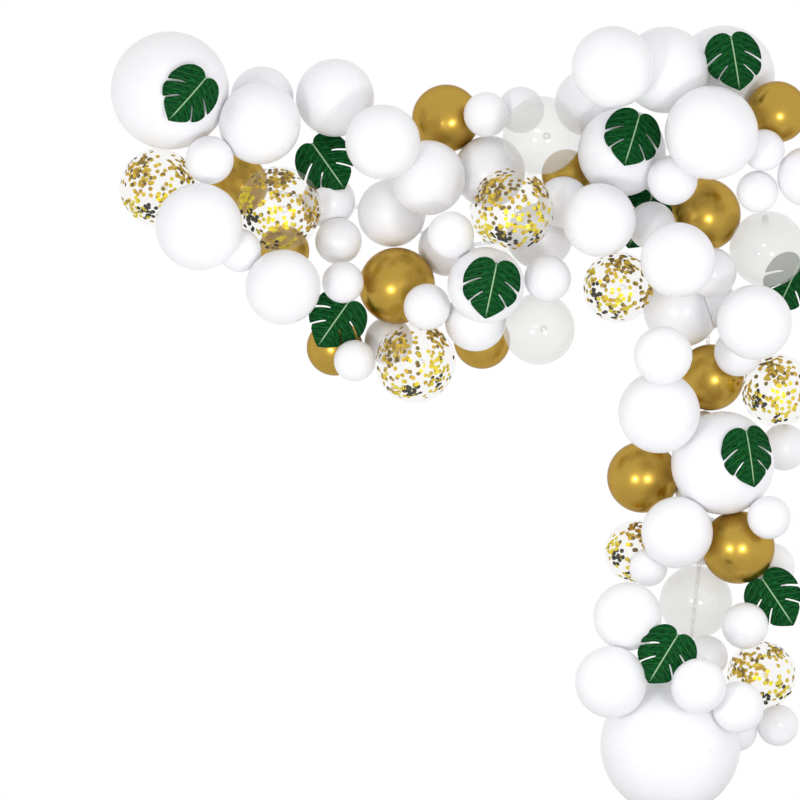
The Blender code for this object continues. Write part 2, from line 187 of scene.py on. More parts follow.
# The neck of a balloon of radius 1, from its skin to its lip: z and radius.
NECK_PROFILE = [
    (-1.040, 0.066), (-1.080, 0.050), (-1.105, 0.046), (-1.115, 0.075), (-1.135, 0.092),
    (-1.160, 0.088), (-1.175, 0.060), (-1.190, 0.050), (-1.215, 0.062), (-1.235, 0.088),
    (-1.247, 0.098), (-1.258, 0.092), (-1.252, 0.074), (-1.235, 0.045),
]
NECK_REACH = 1.26
# The skin is drawn out towards the neck: how far, how wide, and where the neck itself begins.
NECK_DRAW = 0.05
NECK_DRAW_WIDTH = 0.14
NECK_FOOT_RADIUS = 0.09
NECK_DROP = 0.03
# It gathers in pleats there: how many, how deep, and the height and spread of them.
PLEATS = 8
PLEAT_DEPTH = 0.07
PLEAT_MIDDLE = -1.10
PLEAT_SPREAD = 0.07
# A neck's direction is chosen from this many, by its free room and how far back it points.
NECK_DIRECTIONS = 160
NECK_SPOTS = (1.06, 1.2, NECK_REACH)
NECK_LEAST_BACK = 0.05
NECK_ROOM = 0.02
NECK_OFF_WALL = 0.012
NECK_ROOM_WORTH = 40
NECK_BACK_WORTH = 0.25
# A spot this far inside another balloon's outline is hidden by it.
HIDDEN_MARGIN = 8 * MM

LEAF_LENGTH = 0.170
LEAF_FOLD = math.tan(math.radians(15))
LEAF_THICKNESS = 0.9 * MM
# The grid that the blade is cut from: its faces, and its size and middle as shares of the midrib.
LEAF_GRID = (46, 48)
LEAF_GRID_SIZE = (1.10, 1.16)
LEAF_GRID_MIDDLE = 0.46
LEAF_CUTTER_HEIGHT = 0.02
# The leaf on its map: how many midribs the map is wide, and where the midrib's foot is.
LEAF_MAP_SIZE = 1.2
LEAF_MAP_FOOT = (0.5, 0.1)
# Side veins, in shares of the midrib: how they slope and bend away from it, and their spacing.
VEIN_SLOPE = 0.62
VEIN_BEND = 0.25
VEIN_SPACING = 0.118
VEIN_DEPTH = 0.7 * MM
VEIN_FADE = 0.08
RIB_DEPTH = 1.1 * MM
RIB_WIDTH = 0.022
# How round the fold is, and how far the leaf arches back towards both ends.
FOLD_ROUNDING = 0.004
LEAF_ARCH = 0.10
# How far the lobes lift, in millimetres at one midrib's length: the least, the step and the steps.
LOBE_LIFT = 2.0
LOBE_LIFT_STEP = 0.7
LOBE_LIFTS = 4
STEM_RADIUS = 1.6 * MM
STEM_STUB = 4 * MM
STEM_FOOT = -0.43 * LEAF_LENGTH
STEM_BACK = 5.0 * MM
STEM_BENDS = 4
# Half of the leaf as shares of its midrib, from the stem's notch to the tip.
LEAF_HALF_OUTLINE = [
    (0.0, 0.02), (0.045, -0.035), (0.11, -0.075), (0.21, -0.078), (0.32, -0.035), (0.41, 0.05),
    (0.47, 0.15), (0.505, 0.27), (0.515, 0.38), (0.50, 0.455),
    (0.40, 0.385), (0.30, 0.320), (0.215, 0.285), (0.205, 0.300), (0.30, 0.355), (0.40, 0.425),
    (0.485, 0.50),
    (0.485, 0.57), (0.455, 0.64), (0.405, 0.705), (0.355, 0.745),
    (0.285, 0.655), (0.215, 0.575), (0.150, 0.520), (0.140, 0.535), (0.20, 0.600), (0.260, 0.665),
    (0.315, 0.735),
    (0.285, 0.800), (0.215, 0.865), (0.13, 0.925), (0.055, 0.972), (0.0, 1.0),
]
# The outline is rounded apart from these points: the notch, the tip and both ends of each slit.
LEAF_SHARP_POINTS = {0, 9, 12, 13, 16, 20, 23, 24, 27, 32}
LEAF_OUTLINE_STEPS = 3

CONFETTI_DIAMETER = 14 * MM
CONFETTI_THICKNESS = 0.25 * MM
CONFETTI_SIDES = 8
CONFETTI_RIM = 0.12
# How deep under the skin the discs lie, and how much they tilt and each balloon's patches turn.
CONFETTI_DEPTH_MM = (1.4, 4.5)
CONFETTI_TILT = 0.12
CONFETTI_SPIN = 0.7
# How much confetti a balloon of this radius holds.
CONFETTI_COUNT = 330
CONFETTI_COUNT_RADIUS = 0.125
# Where it clings: a direction from the balloon's centre, how far it spreads, its share of the
# whole and its foil.
CONFETTI_PATCHES = [
    ((-0.35, -0.70, 0.62), 0.26, 0.24, "gold"),
    ((0.80, -0.50, 0.30), 0.20, 0.13, "gold"),
    ((-0.80, -0.50, -0.25), 0.22, 0.10, "bright gold"),
    ((0.25, -0.80, -0.50), 0.35, 0.14, "bright gold"),
    ((-0.45, -0.70, -0.55), 0.14, 0.07, "black"),
    ((0.30, -0.50, -0.80), 0.15, 0.03, "black"),
    ((0.00, -0.60, 0.10), 0.90, 0.14, "gold"),
    ((0.00, 0.60, 0.10), 1.00, 0.15, "gold"),
]
# This share of the gold discs is olive instead.
OLIVE_SHARE = 0.30
# Each foil, in the order of the material slots: its dark and its light tone, and its roughness.
FOILS = {
    "gold": ((0.58, 0.36, 0.004), (0.96, 0.68, 0.012), 0.34),
    "bright gold": ((0.95, 0.74, 0.008), (1.00, 0.88, 0.030), 0.34),
    "olive": ((0.14, 0.085, 0.003), (0.38, 0.25, 0.008), 0.36),
    "black": ((0.003, 0.003, 0.002), (0.009, 0.008, 0.006), 0.40),
}

STRIP_WIDTH = 0.012
STRIP_THICKNESS = 0.0015
# Nothing but the strip reaches further back than this.
WALL_SIDE = -STRIP_THICKNESS - PRESS_GAP
# The strip goes on this far past its first and last balloon.
STRIP_END = 0.06
STRIP_HOLE_DIAMETER = 6.5 * MM
STRIP_HOLE_SPACING = 30 * MM
PUNCH_LENGTH = 0.01

FLOOR_SIZE = (5.0, 3.0)
FLOOR_FORWARD = 0.5
FLOOR_DROP = 0.03
# The white surround's strength on the camera's side and behind, and where one fades to the other.
WORLD_FRONT = 0.84
WORLD_BACK = 0.88
WORLD_FADE = 0.6
# Each lamp: its width, its watts, its angles to the side and below the middle, its distance.
LAMP_SIZE = 0.75
LAMP_POWER = 58.0
LAMP_TURN = 21.0
LAMP_DROP = 8.0
LAMP_DISTANCE = 5.5
# The photo's frame: x and z of its middle, its width, and the y where that width is measured.
VIEW_MIDDLE = (-0.915, -0.558)
VIEW_WIDTH = 2.4
VIEW_DEPTH = -0.25
CAMERA_LENS = 800
CAMERA_SENSOR = 36


class Balloon:
    """Where a balloon is and how big."""

    def __init__(self, node, centre, radius):
        self.node = node
        self.centre = centre
        self.radius = radius


def corners_of(node):
    """The corners of a CAD node's mesh."""
    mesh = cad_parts[node].data
    corners = np.empty(len(mesh.vertices) * 3)
    mesh.vertices.foreach_get("co", corners)
    return np.unique(corners.reshape(-1, 3).round(6), axis=0)


def fit_centre(corners, centre, reach):
    """Moves a sphere's centre until the corners near the sphere lie on it."""
    for off in FIT_REACHES:
        for _ in range(FIT_ROUNDS):
            lines = corners - centre
            lengths = np.linalg.norm(lines, axis=1)
            near = np.abs(lengths - reach) < off
            if near.sum() < FIT_LEAST_CORNERS:
                return centre
            slopes = -lines[near] / lengths[near, None]
            centre = centre + np.linalg.lstsq(slopes, reach - lengths[near], rcond=None)[0]
    return centre


def find_centre(corners, x, z, radius):
    """A balloon's centre, from the corners of its CAD ball, which lie on one sphere."""
    reach = radius * CORNER_PROUD
    flat = (corners[:, 0] - x) ** 2 + (corners[:, 2] - z) ** 2
    within = flat < reach ** 2
    near = corners[within]
    half = np.sqrt(reach ** 2 - flat[within])
    guesses = np.concatenate([near[:, 1] - half, near[:, 1] + half])
    best = None
    most = 0
    for y in guesses:
        centre = fit_centre(corners, np.array([x, y, z]), reach)
        off = np.abs(np.linalg.norm(corners - centre, axis=1) - reach)
        on_ball = (off < FIT_ON_BALL).sum()
        if on_ball > most:
            best = centre
            most = on_ball
    return best


def find_balloons():
    """Every balloon of the table, with its centre as found in the CAD."""
    corners = {node: corners_of(node) for node in {row[0] for row in BALLOONS}}
    balloons = []
    for node, x, z, diameter in BALLOONS:
        radius = diameter * CM / 2
        centre = find_centre(corners[node], x * CM, z * CM, radius)
        balloons.append(Balloon(node, centre, radius))
    return balloons


def neighbours_of(balloon, balloons):
    """The balloons that press against one."""
    return [other for other in balloons if other is not balloon
            and np.linalg.norm(other.centre - balloon.centre) < balloon.radius + other.radius]


def press_flat(points, balloon, neighbours):
    """Where two balloons press together, both are flat against the plane between them."""
    for other in neighbours:
        line = other.centre - balloon.centre
        apart = np.linalg.norm(line)
        line = line / apart
        plane = (apart ** 2 + balloon.radius ** 2 - other.radius ** 2) / (2 * apart)
        depth = (points - balloon.centre) @ line - (plane - PRESS_GAP / 2)
        points = points - np.outer(np.clip(depth, 0, None), line)
    return points


def spread_directions(count):
    """Directions spread evenly over a sphere."""
    rise = 1 - (np.arange(count) + 0.5) * 2 / count
    turn = np.arange(count) * math.pi * (3 - math.sqrt(5))
    width = np.sqrt(1 - rise ** 2)
    return np.stack([width * np.cos(turn), rise, width * np.sin(turn)], axis=1)


def out_of_sight(spot, balloon, balloons):
    """Whether a balloon in front, or the neck's own one, hides a spot from the front."""
    for other in balloons:
        across = math.hypot(spot[0] - other.centre[0], spot[2] - other.centre[2])
        if other.centre[1] < spot[1] and across < other.radius - HIDDEN_MARGIN:
            if other is balloon or not other.node.startswith(("clear", "confetti")):
                return True
    return False


def neck_direction(balloon, balloons):
    """The way a neck points: back into the garland, where its neighbours leave it most room."""
    best = None
    most = -math.inf
    for way in spread_directions(NECK_DIRECTIONS):
        if way[1] < NECK_LEAST_BACK:
            continue
        room = NECK_ROOM
        for share in NECK_SPOTS:
            spot = balloon.centre + way * balloon.radius * share
            room = min(room, -spot[1] - NECK_OFF_WALL)
            for other in balloons:
                if other is not balloon:
                    room = min(room, np.linalg.norm(spot - other.centre) - other.radius)
        hidden = out_of_sight(spot, balloon, balloons)
        worth = room * NECK_ROOM_WORTH + way[1] * NECK_BACK_WORTH + hidden
        if worth > most:
            best = way
            most = worth
    return Vector(best)


def deselect_all():
    """Leaves nothing selected."""
    bpy.ops.object.select_all(action="DESELECT")


def put(name, data):
    """Puts a new object with the given data in the scene."""
    piece = bpy.data.objects.new(name, data)
    bpy.context.scene.collection.objects.link(piece)
    return piece


def only(piece):
    """Makes a piece the one that operators act on."""
    deselect_all()
    piece.select_set(True)
    bpy.context.view_layer.objects.active = piece


def select_faces(piece, wanted):
    """Selects the faces whose middle is wanted, in edit mode."""
    bpy.ops.mesh.select_mode(type="FACE")
    bpy.ops.mesh.select_all(action="DESELECT")
    mesh = bmesh.from_edit_mesh(piece.data)
    for face in mesh.faces:
        face.select_set(wanted(face.calc_center_median()))
    bmesh.update_edit_mesh(piece.data)


def model_balloon():
    """One balloon of radius 1 about the origin, its neck down -Z, with a knot and a rolled lip."""
    deselect_all()
    bpy.ops.mesh.primitive_uv_sphere_add(segments=SEGMENTS, ring_count=RINGS, radius=1.0)
    balloon = bpy.context.object
    bpy.ops.object.mode_set(mode="EDIT")
    cap = math.cos(math.pi / RINGS)
    select_faces(balloon, lambda middle: middle.z < -cap)
    width = math.sin(math.pi / RINGS)
    height = -cap
    for z, radius in NECK_PROFILE:
        bpy.ops.mesh.extrude_region_move(TRANSFORM_OT_translate={"value": (0, 0, z - height)})
        share = radius / width
        bpy.ops.transform.resize(value=(share, share, 1), center_override=(0, 0, 0))
        width = radius
        height = z
    bpy.ops.object.mode_set(mode="OBJECT")
    for corner in balloon.data.vertices:
        around = math.atan2(corner.co.y, corner.co.x)
        out = math.hypot(corner.co.x, corner.co.y)
        if corner.co.z < -0.9:
            # The skin runs out into the neck, and gathers in pleats there.
            drawn = NECK_DRAW * math.exp(-(out / NECK_DRAW_WIDTH) ** 2)
            corner.co.z -= drawn if out > NECK_FOOT_RADIUS else NECK_DROP
            away = (corner.co.z - PLEAT_MIDDLE) / PLEAT_SPREAD
            pleat = PLEAT_DEPTH * math.exp(-away ** 2)
            corner.co.xy *= 1 + pleat * math.cos(PLEATS * around)
    bpy.ops.object.shade_smooth()
    return balloon


def take_mesh(piece):
    """Takes the mesh of a model and removes its object."""
    mesh = piece.data
    bpy.data.objects.remove(piece, do_unlink=True)
    return mesh


def balloon_skin(model, balloon, balloons):
    """A balloon's own mesh, in place and pressed flat against its neighbours."""
    mesh = model.copy()
    turn = (-neck_direction(balloon, balloons)).to_track_quat("Z", "Y").to_matrix().to_4x4()
    size = Matrix.Diagonal((balloon.radius,) * 3).to_4x4()
    mesh.transform(Matrix.Translation(balloon.centre) @ turn @ size)
    points = np.empty(len(mesh.vertices) * 3)
    mesh.vertices.foreach_get("co", points)
    points = press_flat(points.reshape(-1, 3), balloon, neighbours_of(balloon, balloons))
    points[:, 1] = np.minimum(points[:, 1], WALL_SIDE)
    mesh.vertices.foreach_set("co", points.ravel())
    mesh.update()
    return mesh


def add_piece(name, mesh, node, slot, *finishes):
    """Puts a finished mesh in the scene as the piece that stands for a node."""
    piece = put(name, mesh)
    mesh.name = name
    for finish in finishes:
        mesh.materials.append(finish)
    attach(piece, "root")
    if node:
        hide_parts(node)
    return piece


def joined(meshes):
    """One mesh from several."""
    pieces = [put("part of a bunch", mesh) for mesh in meshes]
    deselect_all()
    for piece in pieces:
        piece.select_set(True)
    bpy.context.view_layer.objects.active = pieces[0]
    if len(pieces) > 1:
        bpy.ops.object.join()
    return take_mesh(pieces[0])


def model_disc():
    """One foil disc about the origin, facing Z, with a rim inset in its face."""
    deselect_all()
    bpy.ops.mesh.primitive_cylinder_add(vertices=CONFETTI_SIDES, radius=CONFETTI_DIAMETER / 2,
                                        depth=CONFETTI_THICKNESS)
    disc = bpy.context.object
    bpy.ops.object.mode_set(mode="EDIT")
    select_faces(disc, lambda middle: middle.z > CONFETTI_THICKNESS / 3)
    bpy.ops.mesh.inset(thickness=CONFETTI_DIAMETER * CONFETTI_RIM)
    bpy.ops.object.mode_set(mode="OBJECT")
    return take_mesh(disc)


def confetti_mesh(disc, balloon, balloons, chance):
    """Foil discs that cling to the inside of a balloon's skin, in patches."""
    corners = np.array([corner.co for corner in disc.vertices])
    faces = [tuple(face.vertices) for face in disc.polygons]
    count = int(CONFETTI_COUNT * (balloon.radius / CONFETTI_COUNT_RADIUS) ** 2)
    neighbours = neighbours_of(balloon, balloons)
    spin = Matrix.Rotation(chance.uniform(-CONFETTI_SPIN, CONFETTI_SPIN), 3, "Y")
    slots = list(FOILS)
    points = []
    loops = []
    foils = []
    for patch, spread, share, foil in CONFETTI_PATCHES:
        middle = (spin @ Vector(patch)).normalized()
        for _ in range(int(count * share)):
            way = middle + Vector([chance.gauss(0, spread) for _ in range(3)])
            way.normalize()
            deep = chance.uniform(*CONFETTI_DEPTH_MM) * MM + CONFETTI_THICKNESS
            spot = np.array(balloon.centre) + np.array(way) * (balloon.radius - deep)
            spot = press_flat(spot[None], balloon, neighbours)[0] - np.array(way) * MM
            tilt = Vector([chance.gauss(0, CONFETTI_TILT) for _ in range(3)])
            turn = np.array((way + tilt).to_track_quat("Z", "Y").to_matrix())
            start = len(points) * len(corners)
            points.append(corners @ turn.T + spot)
            loops += [tuple(start + corner for corner in face) for face in faces]
            kind = foil
            if foil == "gold" and chance.random() < OLIVE_SHARE:
                kind = "olive"
            foils += [slots.index(kind)] * len(faces)
    mesh = bpy.data.meshes.new("confetti")
    mesh.from_pydata(np.concatenate(points).tolist(), [], loops)
    mesh.polygons.foreach_set("material_index", foils)
    mesh.update()
    return mesh


def smooth_line(points, steps, sharp):
    """A line with rounded turns through points, apart from the sharp ones."""
    line = []
    for i in range(len(points) - 1):
        a = Vector(points[max(i - 1, 0)])
        b = Vector(points[i])
        c = Vector(points[i + 1])
        d = Vector(points[min(i + 2, len(points) - 1)])
        start = (c - a) / 2 if i not in sharp else (c - b) * 0.6
        end = (d - b) / 2 if i + 1 not in sharp else (c - b) * 0.6
        for step in range(steps):
            t = step / steps
            line.append(b * (2 * t ** 3 - 3 * t ** 2 + 1) + start * (t ** 3 - 2 * t ** 2 + t)
                        + c * (3 * t ** 2 - 2 * t ** 3) + end * (t ** 3 - t ** 2))
    line.append(Vector(points[-1]))
    return line


def leaf_outline():
    """The whole leaf's edge, in shares of its midrib."""
    half = smooth_line(LEAF_HALF_OUTLINE, LEAF_OUTLINE_STEPS, LEAF_SHARP_POINTS)
    other = [Vector((-point.x, point.y)) for point in reversed(half[1:-1])]
    return half + other


def apply_modifier(piece, modifier):
    """Applies one of a piece's modifiers."""
    only(piece)
    bpy.ops.object.modifier_apply(modifier=modifier.name)


def carve(piece, cutter, operation):
    """Cuts a piece with a closed cutter, which is gone afterwards."""
    cut = piece.modifiers.new("cut", "BOOLEAN")
    cut.operation = operation
    cut.solver = "EXACT"
    cut.object = cutter
    apply_modifier(piece, cut)
    bpy.data.objects.remove(cutter, do_unlink=True)


def smooth_below(piece, degrees):
    """Shades a piece smooth where its faces meet at less than an angle."""
    only(piece)
    bpy.ops.object.shade_smooth_by_angle(angle=math.radians(degrees))


def model_leaf():
    """The leaf's blade, flat on XY with its tip towards +Y and its face towards +Z."""
    deselect_all()
    bpy.ops.mesh.primitive_grid_add(x_subdivisions=LEAF_GRID[0], y_subdivisions=LEAF_GRID[1], size=1)
    blade = bpy.context.object
    blade.scale = (LEAF_GRID_SIZE[0] * LEAF_LENGTH, LEAF_GRID_SIZE[1] * LEAF_LENGTH, 1)
    blade.location = (0.0, LEAF_GRID_MIDDLE * LEAF_LENGTH, -LEAF_THICKNESS / 2)
    bpy.ops.object.transform_apply(location=True, rotation=True, scale=True)
    cloth = blade.modifiers.new("cloth", "SOLIDIFY")
    cloth.thickness = LEAF_THICKNESS
    cloth.offset = 1.0
    apply_modifier(blade, cloth)

    deselect_all()
    edge = leaf_outline()
    bpy.ops.mesh.primitive_circle_add(vertices=len(edge), radius=1, fill_type="NGON")
    cutter = bpy.context.object
    for corner, point in zip(cutter.data.vertices, reversed(edge)):
        corner.co = (point.x * LEAF_LENGTH, point.y * LEAF_LENGTH, -LEAF_CUTTER_HEIGHT / 2)
    bpy.ops.object.mode_set(mode="EDIT")
    bpy.ops.mesh.select_all(action="SELECT")
    bpy.ops.mesh.extrude_region_move(TRANSFORM_OT_translate={"value": (0, 0, LEAF_CUTTER_HEIGHT)})
    bpy.ops.mesh.select_all(action="SELECT")
    bpy.ops.mesh.normals_make_consistent(inside=False)
    bpy.ops.object.mode_set(mode="OBJECT")
    carve(blade, cutter, "INTERSECT")
    lay_leaf_map(blade.data)
    smooth_below(blade, 40)
    return take_mesh(blade)


def lay_leaf_map(mesh):
    """Lays the blade flat on its map, with the midrib up the middle."""
    while mesh.uv_layers:
        mesh.uv_layers.remove(mesh.uv_layers[0])
    layer = mesh.uv_layers.new(name="leaf")
    for loop in mesh.loops:
        corner = mesh.vertices[loop.vertex_index].co
        layer.data[loop.index].uv = (corner.x / LEAF_LENGTH / LEAF_MAP_SIZE + LEAF_MAP_FOOT[0],
                                     corner.y / LEAF_LENGTH / LEAF_MAP_SIZE + LEAF_MAP_FOOT[1])


def side_vein(u, v):
    """How far along the leaf a spot's side vein leaves the midrib, in side veins."""
    return (v - VEIN_SLOPE * abs(u) + VEIN_BEND * u * u) / VEIN_SPACING


def shape_leaf(mesh, lift):
    """Folds the blade back along its midrib, sinks its ribs, and lifts its lobes a little."""
    for corner in mesh.vertices:
        u = corner.co.x / LEAF_LENGTH
        v = corner.co.y / LEAF_LENGTH
        side = math.sqrt(u * u + FOLD_ROUNDING) - math.sqrt(FOLD_ROUNDING)
        sag = LEAF_LENGTH * (LEAF_FOLD * side + LEAF_ARCH * (v - 0.5) ** 2)
        rib = math.exp(-(u / RIB_WIDTH) ** 2)
        vein = 0.5 + 0.5 * math.cos(2 * math.pi * side_vein(u, v))
        relief = -RIB_DEPTH * rib - VEIN_DEPTH * vein ** 4 * min(abs(u) / VEIN_FADE, 1)
        lobe = lift * MM * abs(u) * math.sin(2 * math.pi * side_vein(u, v) / 2 + lift)
        corner.co.z += relief + lobe - sag
        corner.co.y -= LEAF_LENGTH / 2
    mesh.update()


def leaf_place(node, tip):
    """The middle of a CAD leaf's midrib, half a leaf back from its tip."""
    corners = corners_of(node)
    along = corners @ np.array(tip)
    return Vector(corners[along > along.max() - MM].mean(axis=0)) - tip * LEAF_LENGTH / 2


def add_leaf(node, model, stem, finish, stem_finish, lift):
    """Puts a leaf's blade and stem where its CAD leaf is."""
    x, z, turn, face_x, face_z = LEAVES[node]
    facing = Vector((face_x, -math.sqrt(1 - face_x ** 2 - face_z ** 2), face_z))
    aim = Vector((math.sin(math.radians(turn)), 0.0, -math.cos(math.radians(turn))))
    tip = (aim - facing * aim.dot(facing)).normalized()
    place = Matrix.Translation(leaf_place(node, tip))
    turned = Matrix((tip.cross(facing), tip, facing)).transposed().to_4x4()
    mesh = model.copy()
    shape_leaf(mesh, lift)
    mesh.transform(place @ turned)
    add_piece(node + "_blade", mesh, node, "leaf_fabric", finish)
    stalk = stem.copy()
    stalk.transform(place @ turned)
    add_piece(node + "_stem", stalk, None, "leaf_fabric", stem_finish)


def model_stem():
    """The stub of the stem behind the notch, bent back towards the balloon."""
    deselect_all()
    bpy.ops.mesh.primitive_cylinder_add(vertices=12, radius=STEM_RADIUS, depth=STEM_STUB)
    stem = bpy.context.object
    turn = Matrix.Rotation(math.radians(90), 4, "X")
    stem.data.transform(Matrix.Translation((0, STEM_FOOT, -STEM_BACK)) @ turn)
    bpy.ops.object.mode_set(mode="EDIT")
    lower_end = STEM_FOOT - STEM_STUB / 2 + 0.1 * MM
    select_faces(stem, lambda middle: middle.y < lower_end)
    for step in range(STEM_BENDS):
        # Each length leans back a little more than the one before.
        move = (0.0, -3.2 * MM, -1.1 * MM - 0.5 * MM * step)
        bpy.ops.mesh.extrude_region_move(TRANSFORM_OT_translate={"value": move})
    bpy.ops.object.mode_set(mode="OBJECT")
    smooth_below(stem, 40)
    return take_mesh(stem)


def strip_path():
    """The strip's middle line on X and Z, through the balloons that sit on it."""
    path = [Vector((row[1] * CM, row[2] * CM)) for row in BALLOONS[:ON_STRIP]]
    first = path[0] + (path[0] - path[1]).normalized() * STRIP_END
    last = path[-1] + (path[-1] - path[-2]).normalized() * STRIP_END
    return [first, *path, last]


def model_strip():
    """The strip: a band along its path, with a row of holes for the balloons' necks."""
    path = strip_path()
    deselect_all()
    bpy.ops.mesh.primitive_plane_add(size=1)
    band = bpy.context.object
    half = STRIP_WIDTH / 2
    sides = []
    for i, point in enumerate(path):
        before = (point - path[i - 1]).normalized() if i else None
        after = (path[i + 1] - point).normalized() if i < len(path) - 1 else None
        along = ((before or after) + (after or before)).normalized()
        across = Vector((-along.y, along.x))
        width = half / along.dot(after or before)
        sides.append((point + across * width, point - across * width))
    corners = [Vector((side.x, 0.0, side.y)) for pair in sides for side in pair]
    faces = [(2 * i, 2 * i + 1, 2 * i + 3, 2 * i + 2) for i in range(len(path) - 1)]
    band.data.clear_geometry()
    band.data.from_pydata(corners, [], faces)
    only(band)
    bpy.ops.object.mode_set(mode="EDIT")
    bpy.ops.mesh.select_all(action="SELECT")
    bpy.ops.mesh.normals_make_consistent(inside=False)
    bpy.ops.mesh.extrude_region_move(
        TRANSFORM_OT_translate={"value": (0, -STRIP_THICKNESS, 0)})
    bpy.ops.mesh.select_all(action="SELECT")
    bpy.ops.mesh.normals_make_consistent(inside=False)
    bpy.ops.object.mode_set(mode="OBJECT")

    holes = []
    for start, end in zip(path, path[1:]):
        count = max(int((end - start).length / STRIP_HOLE_SPACING), 1)
        for step in range(count):
            spot = start.lerp(end, (step + 0.5) / count)
            holes.append((spot.x, -STRIP_THICKNESS / 2, spot.y))
    deselect_all()
    bpy.ops.mesh.primitive_cylinder_add(vertices=16, radius=STRIP_HOLE_DIAMETER / 2,
                                        depth=PUNCH_LENGTH)
    punch = take_mesh(bpy.context.object)
    punch.transform(Matrix.Rotation(math.radians(90), 4, "X"))
    punches = []
    for hole in holes:
        mesh = punch.copy()
        mesh.transform(Matrix.Translation(hole))
        punches.append(mesh)
    carve(band, put("punches", joined(punches)), "DIFFERENCE")
    smooth_below(band, 30)
    return take_mesh(band)


class Nodes:
    """Short ways to build a material's nodes."""

    def __init__(self, name):
        self.material = bpy.data.materials.new(name)
        self.material.use_nodes = True
        self.tree = self.material.node_tree
        self.shader = self.tree.nodes["Principled BSDF"]

    def set(self, **values):
        """Sets plain values of the shader, named with _ for each space."""
        for name, value in values.items():
            self.shader.inputs[name.replace("_", " ")].default_value = value

    def link(self, source, target):
        """Links an output to an input."""
        self.tree.links.new(source, target)

    def colour(self, source):
        """Links an output to the shader's colour."""
        self.link(source, self.shader.inputs["Base Color"])

    def rough(self, source):
        """Links an output to the shader's roughness."""
        self.link(source, self.shader.inputs["Roughness"])

    def fill(self, sockets, values):
        """Gives each input its value: a number, a colour or an output. None leaves one as it is."""
        for socket, value in zip(sockets, values):
            if isinstance(value, tuple):
                socket.default_value = (*value, 1)
            elif isinstance(value, (int, float)):
                socket.default_value = value
            elif value is not None:
                self.link(value, socket)

    def place(self):
        """Object coordinates, in metres from the strip's corner."""
        return self.tree.nodes.new("ShaderNodeTexCoord").outputs["Object"]

    def noise(self, scale, detail=3.0, roughness=0.5, at=None):
        """A noise pattern, by default on the piece's own coordinates."""
        node = self.tree.nodes.new("ShaderNodeTexNoise")
        node.inputs["Scale"].default_value = scale
        node.inputs["Detail"].default_value = detail
        node.inputs["Roughness"].default_value = roughness
        self.link(at or self.place(), node.inputs["Vector"])
        return node.outputs["Fac"]

    def ramp(self, factor, *stops):
        """Colours along a factor, each stop a position and a colour."""
        node = self.tree.nodes.new("ShaderNodeValToRGB")
        node.color_ramp.elements[0].position = stops[0][0]
        node.color_ramp.elements[0].color = (*stops[0][1], 1)
        node.color_ramp.elements[1].position = stops[-1][0]
        node.color_ramp.elements[1].color = (*stops[-1][1], 1)
        for position, colour in stops[1:-1]:
            node.color_ramp.elements.new(position).color = (*colour, 1)
        self.link(factor, node.inputs["Fac"])
        return node.outputs["Color"]

    def range(self, factor, low, high, start=0.3, end=0.7):
        """Goes from low to high as a factor goes from start to end."""
        node = self.tree.nodes.new("ShaderNodeMapRange")
        node.inputs["From Min"].default_value = start
        node.inputs["From Max"].default_value = end
        node.inputs["To Min"].default_value = low
        node.inputs["To Max"].default_value = high
        self.link(factor, node.inputs["Value"])
        return node.outputs["Result"]

    def maths(self, operation, first, second=None, third=None):
        """A sum on outputs and numbers."""
        node = self.tree.nodes.new("ShaderNodeMath")
        node.operation = operation
        self.fill(node.inputs, (first, second, third))
        return node.outputs["Value"]

    def mix(self, factor, first, second):
        """Goes from one colour to another by a factor."""
        node = self.tree.nodes.new("ShaderNodeMix")
        node.data_type = "RGBA"
        self.fill([socket for socket in node.inputs if socket.enabled], (factor, first, second))
        return [socket for socket in node.outputs if socket.enabled][0]

    def bump(self, height, distance, strength=1.0):
        """Raises the surface by a height map."""
        node = self.tree.nodes.new("ShaderNodeBump")
        node.inputs["Distance"].default_value = distance
        node.inputs["Strength"].default_value = strength
        self.link(height, node.inputs["Height"])
        self.link(node.outputs["Normal"], self.shader.inputs["Normal"])


def white_latex():
    """Opaque white latex with a faint lavender cast and a soft, slightly uneven sheen."""
    nodes = Nodes("white latex")
    nodes.colour(nodes.ramp(nodes.noise(7.0),
                            (0.35, (0.895, 0.895, 0.925)), (0.65, (0.930, 0.930, 0.948))))
    nodes.rough(nodes.range(nodes.noise(60.0), low=0.26, high=0.38))
    nodes.bump(nodes.noise(40.0, detail=2.0), distance=0.10 * MM, strength=0.2)
    return nodes.material


def gold_latex():
    """Chrome gold latex: mirror-like, with a fine grain."""
    nodes = Nodes("gold chrome latex")
    grain = nodes.noise(900.0, detail=4.0, roughness=0.7)
    nodes.colour(nodes.ramp(grain, (0.30, (0.330, 0.195, 0.022)), (0.5, (0.560, 0.350, 0.048)),
                            (0.72, (0.760, 0.530, 0.105))))
    nodes.set(Metallic=1.0, Specular_Tint=(0.55, 0.42, 0.25, 1.0), Coat_Weight=0.40, Coat_Roughness=0.10)
    nodes.rough(nodes.range(nodes.noise(30.0), low=0.27, high=0.33))
    nodes.bump(grain, distance=0.25 * MM, strength=0.35)
    return nodes.material


def see_through_latex(name, colour, alpha):
    """See-through latex film, glossy."""
    nodes = Nodes(name)
    darker = tuple(0.94 * part for part in colour)
    nodes.colour(nodes.ramp(nodes.noise(9.0), (0.35, darker), (0.65, colour)))
    nodes.set(Alpha=alpha, IOR=2.2)
    nodes.rough(nodes.range(nodes.noise(45.0), low=0.05, high=0.12))
    nodes.bump(nodes.noise(500.0), distance=0.05 * MM, strength=0.2)
    return nodes.material


